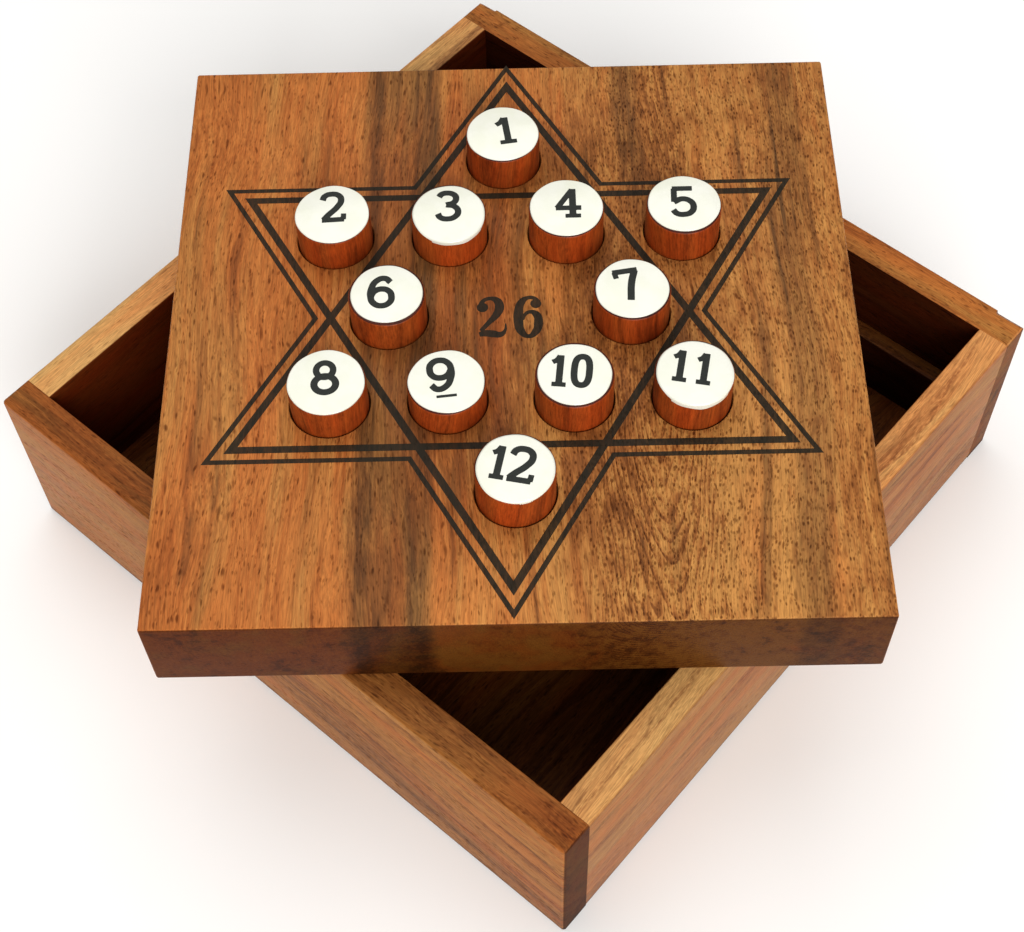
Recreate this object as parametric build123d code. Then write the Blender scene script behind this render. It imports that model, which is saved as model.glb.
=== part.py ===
from build123d import *
import os

os.makedirs("parts", exist_ok=True)

# A square wooden box with a thick pegged board as its lid, in millimetres.
# Z is up. The origin is the centre of the box's underside, X runs along the
# two full-length walls. The lid lies turned across the rim, as in play.

# ---- box ----
BOX_SIDE = 140.0          # outside, both ways
BOX_HEIGHT = 40.0
WALL = 6.5                # all four walls are cut from one stock
PANEL = 8.0               # bottom board, let in between the walls
LEDGE_WIDTH = 3.5         # strip that carries the closed lid
EDGE = 0.8                # eased outer edges
INNER_EDGE = 0.4          # eased inner edges of the rim

# ---- lid ----
LID_THICK = 18.0
LID_PLAY = 0.5            # each side, lid inside the walls
LID_TURN = 41.3           # degrees, how the lid lies on the rim
LID_SHIFT = (1.3, -2.4)   # centre of the lid from the centre of the box
LID_EDGE = 0.5

# ---- pegs and their sockets ----
PEG_DIAMETER = 14.0
PEG_GAP = 0.3             # radial gap of a peg in its socket
PEG_STAND = 7.2           # how far an ordinary peg stands out of the lid
PEG_CROWN = 0.6           # rounded top edge
PEG_CHAMFER = 0.6         # bottom edge
SOCKET_WEB = 8.0          # wood left below an ordinary socket
PEG_PITCH = 21.75         # between neighbours in a row
PATTERN_SHIFT = (-0.5, 0.4)
# sockets are drilled by hand: how much deeper each one is than the ordinary,
# and how far its centre is from the even pattern, to the right and to the back
SOCKET_EXTRA = {1: -0.2, 3: 0.3, 4: -0.3, 5: -0.4, 6: 0.2, 8: 0.3, 9: 1.4,
                10: -0.2, 11: -0.3, 12: -0.6}
SOCKET_DRIFT = {1: (-0.8, 0.3), 2: (-0.1, 0.3), 3: (-0.2, 0.3), 4: (0.0, 0.4),
                5: (0.1, 0.6), 6: (-0.4, 0.3), 7: (0.5, 0.3), 8: (0.3, 0.2),
                9: (-0.4, 0.5), 10: (0.4, 0.4), 11: (-0.4, 0.3), 12: (0.6, 0.0)}

# ---- sizes that follow ----
INSIDE = BOX_SIDE - 2 * WALL
LID_SIDE = INSIDE - 2 * LID_PLAY
LEDGE_HEIGHT = BOX_HEIGHT - PANEL - LID_THICK
LID_TOP = BOX_HEIGHT + LID_THICK
SOCKET_DEPTH = LID_THICK - SOCKET_WEB
PEG_LENGTH = SOCKET_DEPTH + PEG_STAND
ROW = PEG_PITCH * 3 ** 0.5 / 2

# peg number: (columns from the middle, rows from the middle)
STAR = {
    1: (0, 2),
    2: (-1.5, 1), 3: (-0.5, 1), 4: (0.5, 1), 5: (1.5, 1),
    6: (-1, 0), 7: (1, 0),
    8: (-1.5, -1), 9: (-0.5, -1), 10: (0.5, -1), 11: (1.5, -1),
    12: (0, -2),
}


def lid_place():
    """Where the lid lies: turned, on the rim."""
    return Pos(LID_SHIFT[0], LID_SHIFT[1], BOX_HEIGHT) * Rot(0, 0, LID_TURN)


def peg_centre(number):
    """Centre of a peg in the lid's own frame."""
    column, row = STAR[number]
    right, back = SOCKET_DRIFT[number]
    return (PATTERN_SHIFT[0] + column * PEG_PITCH + right,
            PATTERN_SHIFT[1] + row * ROW + back)


def socket_depth(number):
    return SOCKET_DEPTH + SOCKET_EXTRA.get(number, 0.0)


def edges_at(solid, axis, place):
    """Straight edges whose middle lies at one place along one axis."""
    return [e for e in solid.edges() if abs(getattr(e.center(), axis) - place) < 1e-6]


def both(first, second):
    """Edges that are in both lists."""
    return [e for e in first if any(e.is_same(f) for f in second)]


def full_wall():
    """Wall that runs the whole side, on the -Y side; its end grain shows."""
    outer = -BOX_SIDE / 2
    wall = Pos(0, outer + WALL / 2, BOX_HEIGHT / 2) * Box(BOX_SIDE, WALL, BOX_HEIGHT)
    wall = fillet(edges_at(wall, "Y", outer), EDGE)
    rim = both(edges_at(wall, "Y", outer + WALL), edges_at(wall, "Z", BOX_HEIGHT))
    return fillet(rim, INNER_EDGE)


def short_wall():
    """Wall butted between the two full ones, on the +X side."""
    outer = BOX_SIDE / 2
    wall = Pos(outer - WALL / 2, 0, BOX_HEIGHT / 2) * Box(WALL, INSIDE, BOX_HEIGHT)
    long_outside = [e for e in edges_at(wall, "X", outer) if abs(e.center().Y) < 1e-6]
    wall = fillet(long_outside, EDGE)
    rim = both(edges_at(wall, "X", outer - WALL), edges_at(wall, "Z", BOX_HEIGHT))
    return fillet(rim, INNER_EDGE)


def bottom_panel():
    return Pos(0, 0, PANEL / 2) * Box(INSIDE, INSIDE, PANEL)


def ledge():
    """Strip standing on the bottom along the -Y wall; its top carries the lid."""
    inner = -INSIDE / 2
    strip = Pos(0, inner + LEDGE_WIDTH / 2, PANEL + LEDGE_HEIGHT / 2)
    strip = strip * Box(INSIDE, LEDGE_WIDTH, LEDGE_HEIGHT)
    front = edges_at(strip, "Y", inner + LEDGE_WIDTH)
    return fillet(both(front, edges_at(strip, "Z", PANEL + LEDGE_HEIGHT)), INNER_EDGE)


def lid_board():
    board = Pos(0, 0, LID_THICK / 2) * Box(LID_SIDE, LID_SIDE, LID_THICK)
    board = fillet(board.edges(), LID_EDGE)
    for number in STAR:
        x, y = peg_centre(number)
        depth = socket_depth(number)
        socket = Cylinder(PEG_DIAMETER / 2 + PEG_GAP, depth + 1.0,
                          align=(Align.CENTER, Align.CENTER, Align.MIN))
        board -= Pos(x, y, LID_THICK - depth) * socket
    return lid_place() * board


def peg(number):
    body = Cylinder(PEG_DIAMETER / 2, PEG_LENGTH,
                    align=(Align.CENTER, Align.CENTER, Align.MIN))
    body = fillet(body.edges().group_by(Axis.Z)[-1], PEG_CROWN)
    body = chamfer(body.edges().group_by(Axis.Z)[0], PEG_CHAMFER)
    x, y = peg_centre(number)
    return lid_place() * Pos(x, y, LID_THICK - socket_depth(number)) * body


def write(name, shape):
    solids = shape.solids()
    assert len(solids) == 1, name
    solid = solids[0]
    solid.label = name
    export_step(solid, f"parts/{name}.step")


half_turn = Rot(0, 0, 180)
write("front_wall", full_wall())
write("rear_wall", half_turn * full_wall())
write("right_wall", short_wall())
write("left_wall", half_turn * short_wall())
write("bottom_panel", bottom_panel())
write("front_ledge", ledge())
write("rear_ledge", half_turn * ledge())
write("lid", lid_board())
for number in STAR:
    write(f"peg_{number}", peg(number))
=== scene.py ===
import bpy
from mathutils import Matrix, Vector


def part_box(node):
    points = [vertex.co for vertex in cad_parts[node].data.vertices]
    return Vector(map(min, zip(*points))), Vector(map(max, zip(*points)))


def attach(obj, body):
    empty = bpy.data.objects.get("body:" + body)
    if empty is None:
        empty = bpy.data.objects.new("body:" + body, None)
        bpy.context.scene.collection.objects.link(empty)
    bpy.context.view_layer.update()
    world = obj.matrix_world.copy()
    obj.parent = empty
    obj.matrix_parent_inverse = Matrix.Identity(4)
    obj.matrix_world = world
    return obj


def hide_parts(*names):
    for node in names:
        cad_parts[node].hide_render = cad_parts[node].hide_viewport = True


bl_info = {
    "name": "Star number puzzle box",
    "version": (1, 0, 0),
    "blender": (4, 5, 0),
    "location": "View3D > Sidebar > Puzzle Box",
    "description": "Builds a wooden star puzzle box with enamelled number pegs around its packed frame",
    "category": "Object",
}

import math
import bmesh
import bpy
from bpy.props import FloatProperty, FloatVectorProperty, PointerProperty
from mathutils import Matrix, Vector

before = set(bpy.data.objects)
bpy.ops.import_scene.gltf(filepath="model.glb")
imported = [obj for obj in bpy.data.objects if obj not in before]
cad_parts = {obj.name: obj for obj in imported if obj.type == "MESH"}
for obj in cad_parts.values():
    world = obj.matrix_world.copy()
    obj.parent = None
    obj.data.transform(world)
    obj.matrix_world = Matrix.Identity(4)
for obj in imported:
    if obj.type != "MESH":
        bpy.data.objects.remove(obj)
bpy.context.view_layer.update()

MM = 0.001
PEGS = range(1, 13)


# ---------------------------------------------------------------- sizes taken from the frame

def lid_pose():
    """Turn, side and lowest and highest level of the lid as it lies, read from its flat sides."""
    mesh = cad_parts["lid"].data
    low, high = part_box("lid")
    side = max((f for f in mesh.polygons if abs(f.normal.z) < 0.01), key=lambda f: f.area)
    turn = math.atan2(side.normal.y, side.normal.x) % (math.pi / 2)
    along = Vector((math.cos(turn), math.sin(turn), 0))
    reach = [v.co.dot(along) for v in mesh.vertices]
    return turn, max(reach) - min(reach), low.z, high.z


LID_TURN, LID_SIDE, LID_UNDER, LID_TOP = lid_pose()
LID_CENTRE = sum(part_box("lid"), Vector()) / 2
LID_PLACE = Matrix.Translation((LID_CENTRE.x, LID_CENTRE.y, 0)) @ Matrix.Rotation(LID_TURN, 4, "Z")


def peg_place(number):
    """Foot centre, top height and radius of a peg."""
    low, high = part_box(f"peg_{number}")
    centre = (low + high) / 2
    return Vector((centre.x, centre.y, low.z)), high.z, (high.x - low.x) / 2


PEG_PLACES = {number: peg_place(number) for number in PEGS}


# ---------------------------------------------------------------- settings a user would change

def tint(name, text, value):
    return FloatVectorProperty(name=name, description=text, default=value, size=3, subtype="COLOR", min=0, max=1)


def length(name, text, value):
    return FloatProperty(name=name, description=text, default=value, unit="LENGTH", min=0)


class PuzzleTimber(bpy.types.PropertyGroup):
    lid_light: tint("Lid gold", "Palest wood of the lid", (0.51, 0.205, 0.050))
    lid_middle: tint("Lid brown", "Ordinary wood of the lid", (0.345, 0.105, 0.023))
    lid_dark: tint("Lid heartwood", "Dark streaks of the lid", (0.118, 0.045, 0.014))
    full_light: tint("Full wall gold", "Palest wood of the full-length walls", (0.42, 0.175, 0.048))
    full_middle: tint("Full wall brown", "Ordinary wood of the full-length walls", (0.30, 0.105, 0.026))
    full_dark: tint("Full wall heartwood", "Dark streaks of the full-length walls", (0.11, 0.035, 0.010))
    short_light: tint("Short wall gold", "Palest wood of the walls between them", (0.60, 0.295, 0.095))
    short_middle: tint("Short wall brown", "Ordinary wood of the walls between them", (0.34, 0.135, 0.042))
    short_dark: tint("Short wall heartwood", "Dark streaks of the walls between them", (0.13, 0.050, 0.018))
    peg_light: tint("Peg red", "Palest stained wood of the pegs", (0.36, 0.060, 0.008))
    peg_dark: tint("Peg brown", "Darkest stained wood of the pegs", (0.12, 0.015, 0.003))
    eased: length("Eased edge", "Radius of the sanded outer edges", 0.7 * MM)


class PuzzlePrint(bpy.types.PropertyGroup):
    star_radius: length("Star radius", "Middle of the star to a tip of its bold lines", 57.0 * MM)
    star_gap: length("Outline gap", "Bold line to the fine outline around it", 2.45 * MM)
    bold: length("Bold line", "Width of the star's bold lines", 1.4 * MM)
    fine: length("Fine line", "Width of the outline", 0.92 * MM)
    film: length("Ink film", "Thickness of the ink", 0.03 * MM)
    ink: tint("Ink", "Printing ink on wood", (0.016, 0.013, 0.008))
    numeral: tint("Numeral ink", "Ink of the peg numbers", (0.008, 0.010, 0.008))


class PuzzleEnamel(bpy.types.PropertyGroup):
    thickness: length("Enamel", "Thickness of the enamel on a peg", 0.22 * MM)
    white: tint("Enamel white", "Colour of the peg tops", (0.79, 0.795, 0.71))


class PuzzleStudio(bpy.types.PropertyGroup):
    lens: FloatProperty(name="Lens", description="Focal length of the camera", default=63.69, subtype="DISTANCE_CAMERA")
    place: FloatVectorProperty(
        name="Camera place", description="Where the camera stands", default=(0.13511, -0.15126, 0.32474),
        size=3, subtype="TRANSLATION", unit="LENGTH")
    aim: FloatVectorProperty(
        name="Camera turn", description="Which way the camera looks", size=3, subtype="EULER", unit="ROTATION",
        default=tuple(math.radians(angle) for angle in (32.193, 1.044, 40.593)))
    floor: tint("Floor", "Colour of the studio floor", (0.93, 0.93, 0.93))
    air: FloatProperty(name="Air", description="Strength of the light from all round", default=0.47, min=0)


GROUPS = {
    "puzzle_timber": PuzzleTimber,
    "puzzle_print": PuzzlePrint,
    "puzzle_enamel": PuzzleEnamel,
    "puzzle_studio": PuzzleStudio,
}


def settings(name):
    return getattr(bpy.context.scene, name)


# ---------------------------------------------------------------- bench tools

def clear_bench():
    if bpy.context.object and bpy.context.object.mode != "OBJECT":
        bpy.ops.object.mode_set(mode="OBJECT")
    bpy.ops.object.select_all(action="DESELECT")


def take(piece):
    """Selects one piece only and makes it active."""
    clear_bench()
    piece.select_set(True)
    bpy.context.view_layer.objects.active = piece


def set_place():
    """Puts the active piece's place, turn and scale in its mesh."""
    bpy.ops.object.transform_apply(location=True, rotation=True, scale=True)
    return bpy.context.active_object


def settle(piece, name, smooth=30):
    """Names a piece, puts its place in its mesh and smooths its eased edges."""
    take(piece)
    set_place()
    if smooth:
        bpy.ops.object.shade_smooth_by_angle(angle=math.radians(smooth))
    piece.name = name
    piece.data.name = name
    return piece


def block(low, high):
    """A block of wood between two corners."""
    clear_bench()
    low, high = Vector(low), Vector(high)
    bpy.ops.mesh.primitive_cube_add(size=1, location=(low + high) / 2)
    bpy.context.active_object.scale = high - low
    return set_place()


def cylinder(foot, radius, low, high, vertices, **options):
    """An upright cylinder between two levels, in line with a foot."""
    clear_bench()
    bpy.ops.mesh.primitive_cylinder_add(
        vertices=vertices, radius=radius, depth=high - low, location=(foot.x, foot.y, (low + high) / 2), **options)
    return set_place()


def pick(piece, kind, test):
    """In edit mode, selects just the edges or faces that pass a test, and counts them."""
    take(piece)
    bpy.ops.object.mode_set(mode="EDIT")
    bpy.ops.mesh.select_mode(type={"edges": "EDGE", "faces": "FACE"}[kind])
    bpy.ops.mesh.select_all(action="DESELECT")
    mesh = bmesh.from_edit_mesh(piece.data)
    count = 0
    for item in getattr(mesh, kind):
        if test(item):
            item.select_set(True)
            count += 1
    bmesh.update_edit_mesh(piece.data)
    return count


def ease(piece, width, test=lambda edge: True, segments=3):
    """Rounds the chosen edges."""
    if pick(piece, "edges", test):
        bpy.ops.mesh.bevel(offset=width, segments=segments, affect="EDGES", profile=0.5)
    bpy.ops.object.mode_set(mode="OBJECT")


def keep(piece, modifier):
    bpy.context.view_layer.objects.active = piece
    bpy.ops.object.modifier_apply(modifier=modifier.name)


def join(pieces):
    """Makes one piece of several."""
    take(pieces[0])
    for piece in pieces[1:]:
        piece.select_set(True)
    if len(pieces) > 1:
        bpy.ops.object.join()
    return pieces[0]


def cut(piece, tool, operation="DIFFERENCE"):
    """Cuts a tool's shape out of a piece, or adds it with UNION, and throws the tool away."""
    take(piece)
    modifier = piece.modifiers.new("Cut", "BOOLEAN")
    modifier.operation = operation
    modifier.solver = "EXACT"
    modifier.object = tool
    keep(piece, modifier)
    bpy.data.objects.remove(tool)


def finish_piece(piece, body, slot, material, *nodes):
    piece.data.materials.clear()
    piece.data.materials.append(material)
    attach(piece, body)
    if nodes:
        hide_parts(*nodes)


# ---------------------------------------------------------------- shader bench

class Desk:
    """Lays out shader nodes left to right and joins them."""

    def __init__(self, tree):
        self.tree = tree
        self.count = 0

    def add(self, kind, **options):
        node = self.tree.nodes.new(kind)
        node.location = (200 * (self.count // 6), -180 * (self.count % 6))
        self.count += 1
        for key, value in options.items():
            setattr(node, key, value)
        return node

    def feed(self, socket, value):
        if isinstance(value, bpy.types.NodeSocket):
            self.tree.links.new(value, socket)
        elif value is not None:
            socket.default_value = value

    def math(self, operation, first, second=None, clamp=False):
        node = self.add("ShaderNodeMath", operation=operation, use_clamp=clamp)
        self.feed(node.inputs[0], first)
        self.feed(node.inputs[1], second)
        return node.outputs[0]

    def chain(self, operation, values, clamp):
        """Works through the values from left to right; only the last step is clamped."""
        result, *rest = values
        for step, value in enumerate(rest, 1):
            result = self.math(operation, result, value, clamp and step == len(rest))
        return result

    def plus(self, *values, clamp=False):
        return self.chain("ADD", values, clamp)

    def times(self, *values, clamp=False):
        return self.chain("MULTIPLY", values, clamp)

    def minus(self, first, second):
        return self.math("SUBTRACT", first, second)

    def vector(self, operation, first, second=None, scale=None, output=0):
        node = self.add("ShaderNodeVectorMath", operation=operation)
        self.feed(node.inputs[0], first)
        self.feed(node.inputs[1], second)
        if scale is not None:
            self.feed(node.inputs["Scale"], scale)
        return node.outputs[output]

    def split(self, vector):
        node = self.add("ShaderNodeSeparateXYZ")
        self.feed(node.inputs[0], vector)
        return node.outputs

    def join(self, x, y, z):
        node = self.add("ShaderNodeCombineXYZ")
        for socket, value in zip(node.inputs, (x, y, z)):
            self.feed(socket, value)
        return node.outputs[0]

    def noise(self, vector, scale=1.0, detail=2.0, roughness=0.5, output="Fac"):
        node = self.add("ShaderNodeTexNoise", noise_dimensions="3D")
        self.feed(node.inputs["Vector"], vector)
        self.feed(node.inputs["Scale"], scale)
        self.feed(node.inputs["Detail"], detail)
        self.feed(node.inputs["Roughness"], roughness)
        return node.outputs[output]

    def cells(self, vector):
        node = self.add("ShaderNodeTexVoronoi", feature="F1")
        self.feed(node.inputs["Vector"], vector)
        self.feed(node.inputs["Scale"], 1.0)
        return node.outputs["Distance"], node.outputs["Color"]

    def span(self, value, low, high, to_low=0.0, to_high=1.0):
        node = self.add("ShaderNodeMapRange", interpolation_type="SMOOTHSTEP")
        limits = {"Value": value, "From Min": low, "From Max": high, "To Min": to_low, "To Max": to_high}
        for key, item in limits.items():
            self.feed(node.inputs[key], item)
        return node.outputs["Result"]

    def mix(self, factor, first, second, blend="MIX"):
        node = self.add("ShaderNodeMix", data_type="RGBA", blend_type=blend)
        self.feed(node.inputs[0], factor)
        self.feed(node.inputs[6], first)
        self.feed(node.inputs[7], second)
        return node.outputs[2]

    def tinted(self, colour, stain):
        """A colour multiplied by a stain."""
        return self.mix(1.0, colour, stain, "MULTIPLY")

    def coordinate(self, kind):
        return self.add("ShaderNodeTexCoord").outputs[kind]

    def millimetres(self):
        """A place on the object in millimetres."""
        return self.vector("SCALE", self.coordinate("Object"), scale=1000.0)

    def bump(self, height, distance, strength=1.0):
        node = self.add("ShaderNodeBump")
        self.feed(node.inputs["Height"], height)
        self.feed(node.inputs["Distance"], distance)
        self.feed(node.inputs["Strength"], strength)
        return node.outputs[0]

    def group(self, tree, **values):
        node = self.add("ShaderNodeGroup", node_tree=tree)
        for key, value in values.items():
            self.feed(node.inputs[key], value)
        return node.outputs


def rgba(colour, stain=(1.0, 1.0, 1.0)):
    return (*(part * share for part, share in zip(colour, stain)), 1.0)


def new_group(name, inputs, outputs):
    tree = bpy.data.node_groups.new(name, "ShaderNodeTree")
    for label, kind, value in inputs:
        socket = tree.interface.new_socket(name=label, in_out="INPUT", socket_type=f"NodeSocket{kind}")
        if value is not None:
            socket.default_value = value
    for label, kind in outputs:
        tree.interface.new_socket(name=label, in_out="OUTPUT", socket_type=f"NodeSocket{kind}")
    desk = Desk(tree)
    return tree, desk, desk.add("NodeGroupInput").outputs, desk.add("NodeGroupOutput").inputs


# One layer of pores: cells across and along the grain per mm, size of a pore, share of the cells that hold one,
# how far speckled wood fills the others, and depth.
PORES = (
    (1.15, 0.13, 0.30, 0.38, 0.2, 0.75),
    (1.50, 0.34, 0.32, 0.58, 0.4, 0.90),
    (2.20, 0.58, 0.33, 0.80, 0.4, 0.65),
    (2.10, 0.85, 0.42, -0.70, 1.5, 1.00),
)


def timber_group():
    """Solid wood in millimetres with its grain along Y: patches, streaks, growth rings, fibres and pores."""
    tree, desk, given, result = new_group("Timber", (
        ("Vector", "Vector", None), ("End", "Float", 0.0), ("Light", "Color", (0.6, 0.3, 0.1, 1)),
        ("Middle", "Color", (0.4, 0.15, 0.05, 1)), ("Dark", "Color", (0.15, 0.06, 0.02, 1)),
        ("Streaks", "Float", 1.0), ("Heart", "Float", 0.0), ("Gold", "Float", 0.0), ("Speckle", "Float", 0.0),
        ("Figure", "Float", 1.0), ("Pores", "Float", 1.0), ("Rings", "Float", 0.5), ("Spacing", "Float", 5.0),
        ("Pith", "Vector", (30.0, 0.0, -60.0)), ("Tilt", "Float", 0.0),
    ), (("Colour", "Color"), ("Roughness", "Float"), ("Height", "Float")))

    def field(vector, across, along, detail=2.0, roughness=0.5, output="Fac"):
        return desk.noise(desk.vector("MULTIPLY", vector, (across, along, across)), 1.0, detail, roughness, output)

    def around(vector, across, along, reach):
        shift = desk.vector("SUBTRACT", field(vector, across, along, 1.0, output="Color"), (0.5, 0.5, 0.5))
        return desk.vector("MULTIPLY", shift, (reach, 0.0, reach))

    def off(value, weight):
        return desk.times(desk.minus(value, 0.5), weight)

    point = given["Vector"]
    bent = desk.vector("ADD", point, around(point, 0.025, 0.011, 13.0))
    bent = desk.vector("ADD", bent, around(bent, 0.16, 0.045, 1.6))
    x, y, z = desk.split(bent)

    # growth rings round a leaning pith
    pith_x, pith_y, pith_z = desk.split(given["Pith"])
    rise = desk.plus(desk.minus(z, pith_z), desk.times(desk.minus(y, pith_y), given["Tilt"]))
    radius = desk.vector("LENGTH", desk.join(desk.minus(x, pith_x), 0.0, rise), output=1)
    turn = desk.plus(desk.math("DIVIDE", radius, given["Spacing"]), desk.times(field(bent, 0.10, 0.02), 2.2))
    saw = desk.math("FRACT", turn)
    ring = desk.times(desk.math("POWER", saw, 2.5), desk.span(saw, 1.0, 0.9))

    patch = field(bent, 0.065, 0.012)
    lines = field(bent, 0.42, 0.010, 3.0, 0.62)
    thin = field(bent, 1.7, 0.045, 2.0, 0.6)
    fibre = field(bent, 5.5, 0.30, 2.0, 0.6)
    mottle = field(bent, 0.50, 0.21, 3.0, 0.6)
    crowd = field(bent, 0.11, 0.05)

    # from brown to gold
    tone = desk.times(desk.plus(off(patch, 0.9), off(lines, 1.3)), given["Figure"])
    tone = desk.plus(tone, off(thin, 1.0), off(mottle, desk.plus(0.35, given["Speckle"])), given["Gold"])
    dotted = desk.times(ring, desk.span(field(point, 1.5, 0.75), 0.36, 0.56, 0.25, 1.0))
    tone = desk.minus(tone, desk.times(dotted, given["Rings"]))
    colour = desk.mix(desk.span(tone, -0.45, 0.5), given["Middle"], given["Light"])
    colour = desk.mix(desk.span(tone, 0.0, -0.85), colour, desk.tinted(given["Middle"], (0.50, 0.48, 0.50, 1)))

    # dark streaks and heartwood, then redder and yellower stretches and single fibres
    deep = desk.times(desk.span(desk.plus(off(lines, 1.0), off(patch, 0.6)), -0.10, -0.26), given["Streaks"])
    heart = desk.times(given["Heart"], desk.span(desk.plus(off(thin, 0.8), lines), 0.25, 0.72, 1.0, 0.60))
    colour = desk.mix(desk.plus(desk.times(deep, 0.55), heart, clamp=True), colour, given["Dark"])
    hue = desk.span(desk.plus(field(bent, 0.22, 0.016), desk.times(given["Speckle"], 0.20)), 0.36, 0.64)
    colour = desk.mix(hue, desk.tinted(colour, (1.03, 0.90, 0.86, 1)), desk.tinted(colour, (0.97, 1.09, 1.16, 1)))
    grey = desk.span(fibre, 0.25, 0.75, 0.72, 1.24)
    colour = desk.tinted(colour, desk.join(grey, grey, grey))

    pore = None
    wander = desk.vector("ADD", bent, around(bent, 0.5, 0.2, 1.3))
    for across, along, size, share, crowded, depth in PORES:
        distance, seed = desk.cells(desk.vector("MULTIPLY", wander, (across, along, across)))
        chance, strong, unused = desk.split(seed)
        extra = desk.plus(desk.times(ring, 0.25), desk.times(given["Speckle"], crowded))
        here = desk.span(desk.minus(desk.plus(share, off(crowd, 0.9), extra), chance), 0.0, 0.12)
        wide = desk.times(desk.plus(0.8, desk.times(strong, 0.5)), size)
        mask = desk.times(desk.span(distance, wide, desk.times(wide, 0.3)), here)
        mask = desk.times(mask, desk.times(desk.plus(0.45, desk.times(strong, 0.55)), depth))
        pore = mask if pore is None else desk.math("MAXIMUM", pore, mask)
    pore = desk.times(pore, given["Pores"], desk.span(given["End"], 0.0, 1.0, 1.0, 0.35), clamp=True)
    colour = desk.mix(pore, colour, desk.tinted(colour, (0.30, 0.21, 0.15, 1)))
    colour = desk.mix(given["End"], colour, desk.tinted(colour, (0.20, 0.145, 0.070, 1)))

    rough = desk.plus(0.46, off(fibre, 0.16), desk.times(pore, 0.25), desk.times(given["End"], 0.10), clamp=True)
    desk.feed(result["Colour"], colour)
    desk.feed(result["Roughness"], rough)
    desk.feed(result["Height"], desk.minus(desk.times(fibre, 0.15), pore))
    return tree


BAND_INPUTS = ("Place", "Half width", "Soft", "Wave", "Start", "Stop", "Strength")
BAND_FADE = 22.0


def band_group():
    """A wavy streak that runs along Y at a place across the board and fades out at both ends."""
    defaults = zip(BAND_INPUTS, (0.0, 5.0, 2.0, 2.0, -100.0, 100.0, 1.0))
    tree, desk, given, result = new_group("Streak", (
        ("Vector", "Vector", None), *((label, "Float", value) for label, value in defaults),
    ), (("Mask", "Float"),))
    x, y, z = desk.split(given["Vector"])
    bend = desk.noise(desk.join(desk.times(given["Place"], 0.37), desk.times(y, 0.028), desk.times(z, 0.02)), 1.0, 1.0)
    fray = desk.noise(desk.vector("MULTIPLY", given["Vector"], (0.5, 0.05, 0.5)), 1.0, 3.0, 0.7)
    waved = desk.times(desk.minus(bend, 0.5), desk.times(given["Wave"], 4.0))
    across = desk.plus(x, waved, desk.times(desk.minus(fray, 0.5), given["Soft"]))
    distance = desk.math("ABSOLUTE", desk.minus(across, given["Place"]))
    mask = desk.span(desk.minus(distance, given["Half width"]), given["Soft"], 0.0)
    ends = desk.times(desk.span(y, given["Start"], desk.plus(given["Start"], BAND_FADE)),
                      desk.span(y, given["Stop"], desk.minus(given["Stop"], BAND_FADE)))
    desk.feed(result["Mask"], desk.times(mask, ends, given["Strength"]))
    return tree


TREES = {}


def tree(name, make):
    if name not in TREES:
        TREES[name] = make()
    return TREES[name]


def new_material(name):
    material = bpy.data.materials.new(name)
    material.use_nodes = True
    material.node_tree.nodes.clear()
    desk = Desk(material.node_tree)
    shader = desk.add("ShaderNodeBsdfPrincipled")
    desk.feed(desk.add("ShaderNodeOutputMaterial").inputs["Surface"], shader.outputs[0])
    return material, desk, shader.inputs


# Turns that bring the grain to Y, and the ways a face can look
ALONG_X = (0, 0, math.radians(90))
ALONG_Y = (0, 0, 0)
ALONG_Z = (math.radians(-90), 0, 0)
FRONT, BACK, LEFT, RIGHT, UP = (0, -1, 0), (0, 1, 0), (-1, 0, 0), (1, 0, 0), (0, 0, 1)


def grain_vector(desk, turn, centre, shift):
    """Places in millimetres with the grain along Y, without and with the shift, and how much a face is end grain."""
    def turned(vector):
        spin = desk.add("ShaderNodeMapping", vector_type="POINT")
        desk.feed(spin.inputs["Vector"], vector)
        desk.feed(spin.inputs["Rotation"], turn)
        return spin

    spin = turned(desk.vector("SUBTRACT", desk.coordinate("Object"), tuple(centre)))
    desk.feed(spin.inputs["Scale"], (1000.0, 1000.0, 1000.0))
    place = spin.outputs[0]
    along = desk.math("ABSOLUTE", desk.split(turned(desk.coordinate("Normal")).outputs[0])[1])
    return place, desk.vector("ADD", place, tuple(shift)), desk.span(along, 0.55, 0.85)


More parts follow.
